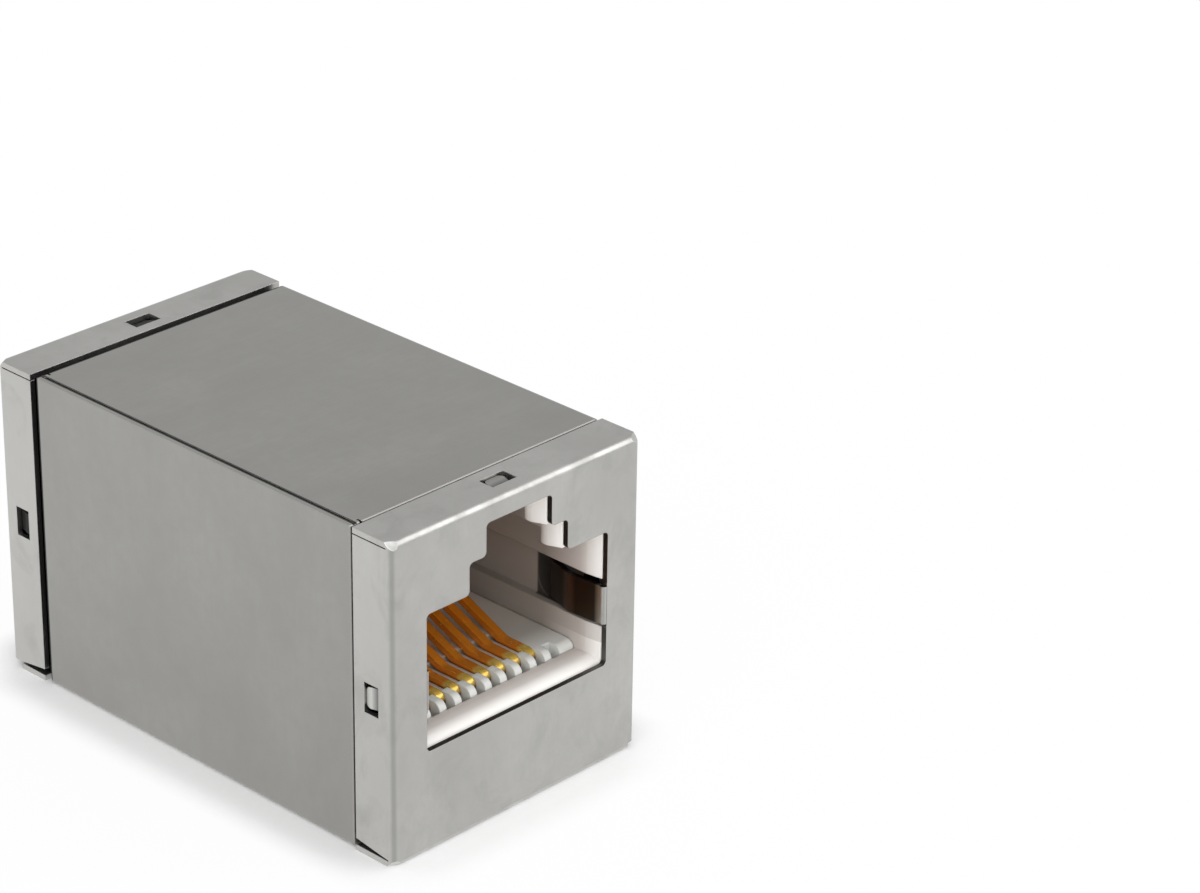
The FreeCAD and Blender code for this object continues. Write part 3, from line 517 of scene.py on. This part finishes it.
def moulded_plastic(name, depth_shades, keyway_light, low_wall_shade_share, roughness, edge_radius):
    """Moulded plastic with a fine sparked skin; painted shade darkens it from the mouth inwards, low down and
    by the windows, and painted light keeps it pale at the keyway.
    """
    tree = Tree(name)
    flow = tree.noise(FLOW_SCALE, FLOW_STRETCH, detail=4.0, roughness=0.55, distortion=0.5)
    skin = tree.noise(SKIN_SCALE, detail=3.0, roughness=0.6)
    across, along, height = tree.from_middle()
    # Painted shade: the plastic darkens from the mouth inwards.
    tone = depth_shades[0][1]
    for (near_mouth, _), (deeper, colour) in zip(depth_shades, depth_shades[1:]):
        tone = tree.mix(tree.rescale(along, near_mouth, deeper, 0.0, 1.0), tone, colour)
    # Painted light: at the keyway's height the plastic stays pale, where light comes in through the slot.
    tone = tree.mix(tree.rescale(height, KEYWAY_LOW, KEYWAY_HIGH, 0.0, 1.0), tone, keyway_light)
    # Painted shade on the walls low down, between these heights.
    low_wall = tree.all_of([
        ("GREATER_THAN", height, LOW_WALL_BOTTOM),
        ("LESS_THAN", height, LOW_WALL_TOP),
    ])
    tone = tree.mix_part(low_wall, low_wall_shade_share, tone, LOW_WALL_SHADE)
    # Painted shade on the outer walls behind the windows, seen through the windows and snap holes.
    beside = tree.rescale(across, GROOVE_WALL - SOFT_BORDER, GROOVE_WALL, 0.0, 1.0)
    behind = tree.rescale(along, WINDOW_END - SOFT_BORDER, WINDOW_END, 0.0, 1.0)
    tone = tree.mix(tree.math("MULTIPLY", beside, behind), tone, WINDOW_SHADE)
    tone = tree.mix(tree.vary(flow, 0.0, FLOW_SHARE, low=0.35), tone, FLOW_MARK)
    tree.feed(tree.shader.inputs["Base Color"], tone)
    tree.feed(tree.shader.inputs["Roughness"], tree.vary(skin, *roughness))
    tree.feed(tree.shader.inputs["IOR"], PLASTIC_IOR)
    relief = tree.bump(skin, SKIN_RELIEF, tree.rounded(edge_radius))
    tree.feed(tree.shader.inputs["Normal"], relief)
    return tree.material


def gold_plate(name):
    """Spring wire: gold darkened to orange by painted shade up the springs, brighter yellow as a painted
    highlight at the bent front, and painted shade under the comb.
    """
    tree = Tree(name)
    wire = tree.noise(WIRE_SCALE, WIRE_STRETCH, detail=3.0, roughness=0.6)
    tarnish = tree.noise(TARNISH_SCALE, TARNISH_STRETCH, detail=3.0, roughness=0.6)
    _, along, height = tree.from_middle()
    up_spring = tree.rescale(height, SPRING_START, SPRING_FULL, 0.0, 1.0)
    knuckle_highlight = tree.rescale(along, KNUCKLE_START, KNUCKLE_FULL, 0.0, 1.0)
    shaded_under_comb = tree.rescale(height, UNDER_COMB_START, UNDER_COMB_FULL, 0.0, 1.0)
    # Painted shade: the gold darkens to orange up the springs.
    tone = tree.mix(up_spring, SPRING_FOOT_SHADED, SPRING_GOLD_SHADED)
    # Painted highlight: the bent front is painted bright yellow gold.
    tone = tree.mix(knuckle_highlight, tone, KNUCKLE_GOLD_HIGHLIGHT)
    # Painted shade on the wire under the comb's top.
    tone = tree.mix(shaded_under_comb, tone, UNDER_COMB_SHADE)
    tone = tree.mix(tree.vary(tarnish, 0.0, TARNISH_SHARE, low=0.35), tone, TARNISH)
    tree.feed(tree.shader.inputs["Base Color"], tone)
    tree.feed(tree.shader.inputs["Metallic"], SPRING_METALLIC)
    tree.feed(tree.shader.inputs["Roughness"], tree.vary(wire, *WIRE_ROUGHNESS))
    relief = tree.bump(wire, WIRE_RELIEF, tree.rounded(SPRING_ROUNDING))
    tree.feed(tree.shader.inputs["Normal"], relief)
    return tree.material


def board_lacquer(name):
    """Green lacquer over the board's weave."""
    tree = Tree(name)
    weave = tree.noise(WEAVE_SCALE, detail=2.0)
    tone = tree.mix(tree.vary(weave, 0.0, 1.0, low=0.35, high=0.65), *LACQUER_TONES)
    tree.feed(tree.shader.inputs["Base Color"], tone)
    tree.feed(tree.shader.inputs["Roughness"], tree.vary(weave, *LACQUER_ROUGHNESS))
    relief = tree.bump(weave, WEAVE_RELIEF, tree.rounded(BOARD_ROUNDING))
    tree.feed(tree.shader.inputs["Normal"], relief)
    return tree.material


def floor_paint(name):
    """Pale paint; most of what the camera sees of it is plain white, less close round the coupler."""
    tree = Tree(name)
    output = tree.nodes["Material Output"]
    white = tree.add("ShaderNodeEmission")
    path = tree.add("ShaderNodeLightPath")
    openness = tree.add("ShaderNodeAmbientOcclusion", samples=SHADOW_SAMPLES)
    tree.feed(openness.inputs["Distance"], SHADOW_REACH)
    open_share = tree.rescale(openness.outputs["AO"], SHADOW_DARKEST, SHADOW_END, 0.0, SEEN_WHITE)
    to_camera = tree.math("MULTIPLY", path.outputs["Is Camera Ray"], open_share)
    mirrored = tree.math("MAXIMUM", path.outputs["Is Glossy Ray"], path.outputs["Is Transmission Ray"])
    white_share = tree.math("MAXIMUM", to_camera, tree.math("MULTIPLY", mirrored, MIRRORED_WHITE))
    blend = tree.add("ShaderNodeMixShader")
    tree.feed(blend.inputs[0], white_share)
    tree.links.new(tree.shader.outputs[0], blend.inputs[1])
    tree.links.new(white.outputs[0], blend.inputs[2])
    tree.links.new(blend.outputs[0], output.inputs["Surface"])
    tooth = tree.noise(TOOTH_SCALE, detail=3.0)
    tree.feed(tree.shader.inputs["Base Color"], tree.mix(tree.vary(tooth, 0.0, 1.0), *FLOOR_TONES))
    tree.feed(tree.shader.inputs["Roughness"], tree.vary(tooth, *FLOOR_ROUGHNESS))
    tree.feed(tree.shader.inputs["Specular IOR Level"], FLOOR_SHEEN)
    return tree.material


def make_finishes():
    """One material for each material slot that the record names."""
    return {
        "cap_sheet": sheet_metal("cap_nickel", CAP_TONES, CAP_STREAKS, CAP_SMUDGES, shade_cap),
        "shell_sheet": sheet_metal("shell_nickel", SHELL_TONES, SHELL_STREAKS, SHELL_SMUDGES, shade_shell),
        "housing_plastic": moulded_plastic("housing_white", HOUSING_DEPTH_SHADES, HOUSING_KEYWAY_LIGHT,
                                           HOUSING_LOW_WALL_SHADE_SHARE, HOUSING_ROUGHNESS, HOUSING_ROUNDING),
        "carrier_plastic": moulded_plastic("carrier_grey_white", CARRIER_DEPTH_SHADES, CARRIER_KEYWAY_LIGHT,
                                           CARRIER_LOW_WALL_SHADE_SHARE, CARRIER_ROUGHNESS, CARRIER_ROUNDING),
        "contact_gold": gold_plate("contact_gold"),
        "board": board_lacquer("board_lacquer"),
    }


def finish_nodes():
    finishes = make_finishes()
    slot_of = {part["node"]: part["material_slot"] for part in frame["record"]["subparts"]}
    for name, piece in nodes.items():
        piece.data.materials.clear()
        piece.data.materials.append(finishes[slot_of[name]])


def finger_place(across, along, height):
    """Where a point of the cap lies across once its ground finger folds at the opening's edge."""
    on_plate = along > PLATE_BACK
    margin = ROOT_FILLET if on_plate else 0.0
    inner_edge = OPENING_SIDE - EDGE_SLACK if on_plate else OPENING_HALF_WIDTH
    in_band = FINGER_LOW - margin < height < FINGER_HIGH + margin
    if not in_band or across >= inner_edge:
        return across
    limit = OPENING_SIDE if along > PLATE_BACK - FOLD_DEPTH else OPENING_HALF_WIDTH
    return min(across + FINGER_SHIFT, limit)


def close_finger_roots(name):
    """The end cap again, with its ground fingers folded in close to the opening's edge."""
    cap = nodes[name]
    piece = cap.copy()
    piece.data = cap.data.copy()
    piece.name = name + "_sheet"
    bpy.context.scene.collection.objects.link(piece)
    normals = [tuple(corner.vector) for corner in cap.data.corner_normals]
    for vertex in piece.data.vertices:
        across, along, height = vertex.co
        vertex.co.x = math.copysign(finger_place(abs(across), abs(along), height), across)
    piece.data.normals_split_custom_set(normals)
    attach(piece, "root")
    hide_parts(name)


def add_floor():
    bpy.ops.mesh.primitive_plane_add(size=FLOOR_SIZE, location=(0.0, 0.0, 0.0))
    floor = bpy.context.object
    floor.name = "floor"
    floor.data.materials.append(floor_paint("floor_paint"))


def add_sun(name, towards_lamp, strength, spread_degrees):
    light = bpy.data.lights.new(name, "SUN")
    light.energy = strength
    light.angle = math.radians(spread_degrees)
    lamp = bpy.data.objects.new(name, light)
    lamp.rotation_euler = Vector(towards_lamp).to_track_quat("Z", "Y").to_euler()
    bpy.context.scene.collection.objects.link(lamp)


def add_lights():
    world = bpy.data.worlds.new("studio")
    bpy.context.scene.world = world
    world.use_nodes = True
    background = world.node_tree.nodes["Background"]
    background.inputs["Color"].default_value = STUDIO_GREY
    background.inputs["Strength"].default_value = 1.0
    add_sun("key", *KEY_LAMP)
    add_sun("fill", *FILL_LAMP)


def add_camera():
    data = bpy.data.cameras.new("camera")
    data.sensor_fit = "HORIZONTAL"
    data.sensor_width = SENSOR_MM
    data.lens = FOCAL_PX * SENSOR_MM / FRAME_WIDTH_PX
    data.clip_start = NEAREST_SEEN
    data.clip_end = FARTHEST_SEEN
    camera = bpy.data.objects.new("camera", data)
    turn = Matrix((RIGHT, -DOWN, -FORWARD)).transposed()
    camera.matrix_world = Matrix.Translation(EYE) @ turn.to_4x4()
    bpy.context.scene.collection.objects.link(camera)
    bpy.context.scene.camera = camera


finish_nodes()
close_finger_roots("front_cap")
close_finger_roots("rear_cap")
add_floor()
add_lights()
add_camera()
bpy.context.scene.view_settings.view_transform = "Standard"
